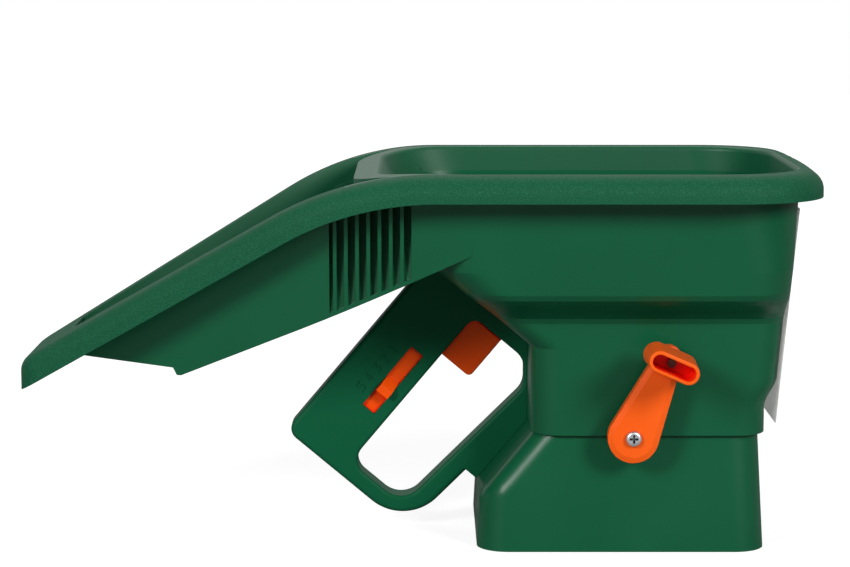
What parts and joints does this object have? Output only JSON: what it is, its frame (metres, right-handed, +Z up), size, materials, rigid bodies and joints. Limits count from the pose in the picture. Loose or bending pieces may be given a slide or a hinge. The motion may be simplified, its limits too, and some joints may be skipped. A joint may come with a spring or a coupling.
{
  "type": "hand crank garden spreader",
  "caption": "Hand-held garden spreader: grain hopper with a pouring scoop, D handle with trigger and rate slider, side crank driving an impeller in a box base.",
  "frame": {"origin": "on the impeller axis, on the flat floor that the base stands on", "axes": "+X forward, away from the scoop; +Z up; the crank is on the -Y side"},
  "size_m": [0.4319, 0.22, 0.205],
  "materials": {
    "green_shell": "fine grained moulding",
    "orange_plastic": "satin moulding",
    "label_film": "blank white film",
    "steel": "drawn bar",
    "zinc_steel": "bright zinc plate",
    "bearing_plastic": "natural acetal",
    "dark_plastic": "moulded black"
  },
  "bodies": {
    "frame": {"hopper": "green_shell", "scoop": "green_shell", "base_housing": "green_shell", "bottom_plate": "green_shell", "handle_near_half": "green_shell", "handle_far_half": "green_shell", "handle_screws": "zinc_steel", "hopper_screws": "zinc_steel", "strut_screws": "zinc_steel", "bottom_screws": "zinc_steel", "base_screws": "zinc_steel", "crank_bush": "bearing_plastic", "rotor_bush": "bearing_plastic", "thrust_washer": "bearing_plastic", "shutter_guide": "dark_plastic", "front_label": "label_film", "trigger_spring": "steel"},
    "crank": {"crank_arm": "orange_plastic", "crank_shaft": "steel", "drive_gear": "bearing_plastic", "crank_screw": "zinc_steel", "knob_pin": "zinc_steel"},
    "knob": {"crank_knob": "orange_plastic"},
    "rotor": {"impeller": "dark_plastic", "rotor_shaft": "steel", "pinion": "bearing_plastic", "agitator": "dark_plastic"},
    "trigger": {"trigger": "orange_plastic", "trigger_link": "dark_plastic", "shutter_plate": "dark_plastic", "link_pin": "zinc_steel"},
    "slider": {"rate_slider": "orange_plastic"}
  },
  "joints": [
    {"name": "crank_turn", "type": "hinge", "parent": "frame", "child": "crank", "pos_m": [0, -0.045, 0.0642], "axis": [0, 1, 0], "continuous": true},
    {"name": "knob_spin", "type": "hinge", "parent": "crank", "child": "knob", "pos_m": [0.01834, -0.085, 0.10638], "axis": [0, 1, 0], "continuous": true},
    {"name": "rotor_spin", "type": "hinge", "parent": "frame", "child": "rotor", "pos_m": [0, 0, 0.05], "axis": [0, 0, 1], "continuous": true},
    {"name": "trigger_pull", "type": "slide", "parent": "frame", "child": "trigger", "axis": [-0.766, 0, 0.6428], "range_m": [0, 0.014], "stiffness_N_per_m": 200, "springref_m": -0.008, "deforming": ["trigger_spring"]},
    {"name": "rate_set", "type": "slide", "parent": "frame", "child": "slider", "axis": [0.6428, 0, 0.766], "range_m": [-0.0069, 0.0207]}
  ],
  "couplings": [
    {"joint": "rotor_spin", "follows": "crank_turn", "ratio": -2.5}
  ]
}
